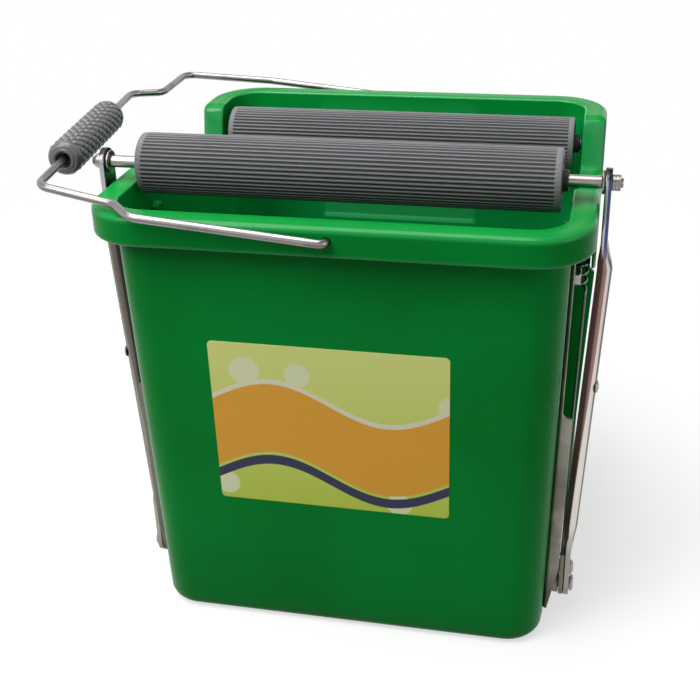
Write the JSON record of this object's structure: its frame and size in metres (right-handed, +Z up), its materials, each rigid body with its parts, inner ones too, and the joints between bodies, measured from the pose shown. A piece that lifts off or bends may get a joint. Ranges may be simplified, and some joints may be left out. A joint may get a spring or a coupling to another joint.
{
  "type": "mop bucket",
  "caption": "Plastic mop bucket with fluted wringing rollers, the front one on pedal-worked side arms with return springs, and a wire bail with a turning grip.",
  "frame": {"origin": "centre of the base on the floor", "axes": "+X to the right seen from the front, +Y to the back, +Z up"},
  "size_m": [0.367, 0.3712, 0.3278],
  "materials": {
    "green_plastic": "glossy moulded",
    "roller_plastic": "fluted, satin",
    "cap_plastic": "satin",
    "plated_steel": "bright zinc",
    "arm_steel": "worn zinc",
    "galvanised_steel": "dull galvanised",
    "spring_steel": "bright",
    "bail_wire": "zinc",
    "grip_plastic": "studded, matt",
    "label_film": "printed film"
  },
  "bodies": {
    "bucket": {"bucket_body": "green_plastic", "side_plate_right": "galvanised_steel", "side_plate_left": "galvanised_steel", "plate_bolts": "plated_steel", "inner_nuts": "green_plastic", "spring_studs": "plated_steel", "return_spring_right": "spring_steel", "return_spring_left": "spring_steel", "rear_axle": "plated_steel", "axle_washers_rear": "plated_steel", "axle_nuts_rear": "plated_steel", "pivot_rod": "plated_steel", "pivot_sleeves": "galvanised_steel", "pivot_caps": "plated_steel", "front_label": "label_film"},
    "wringer": {"arm_right": "arm_steel", "arm_left": "arm_steel", "arm_rivets": "plated_steel", "front_axle": "plated_steel", "axle_washers_front": "plated_steel", "axle_nuts_front": "plated_steel", "pedal_frame": "galvanised_steel", "frame_rivets": "plated_steel", "pedal_tread": "galvanised_steel", "tread_rivets": "plated_steel"},
    "front_roller_set": {"front_roller": "roller_plastic", "front_roller_caps": "cap_plastic"},
    "rear_roller_set": {"rear_roller": "roller_plastic", "rear_roller_caps": "cap_plastic"},
    "bail_wire": {"bail": "bail_wire"},
    "grip_sleeve": {"grip": "grip_plastic"}
  },
  "joints": [
    {"name": "wringer_swing", "type": "hinge", "parent": "bucket", "child": "wringer", "pos_m": [0, -0.082, 0.022], "axis": [-1, 0, 0], "range_deg": [0, 29.5], "stiffness_Nm_per_rad": 1.7, "springref_deg": -63.03, "deforming": ["return_spring_right", "return_spring_left"]},
    {"name": "front_roller_spin", "type": "hinge", "parent": "wringer", "child": "front_roller_set", "pos_m": [0, -0.082, 0.309], "axis": [1, 0, 0], "continuous": true},
    {"name": "rear_roller_spin", "type": "hinge", "parent": "bucket", "child": "rear_roller_set", "pos_m": [0, 0.098, 0.276], "axis": [1, 0, 0], "continuous": true},
    {"name": "bail_swing", "type": "hinge", "parent": "bucket", "child": "bail_wire", "pos_m": [0.0025, 0, 0.29], "axis": [0, 1, 0], "range_deg": [0, 168]},
    {"name": "grip_spin", "type": "hinge", "parent": "bail_wire", "child": "grip_sleeve", "pos_m": [-0.18845, -0.032, 0.30872], "axis": [-0.1007, 0.9949, 0.0099], "continuous": true}
  ]
}
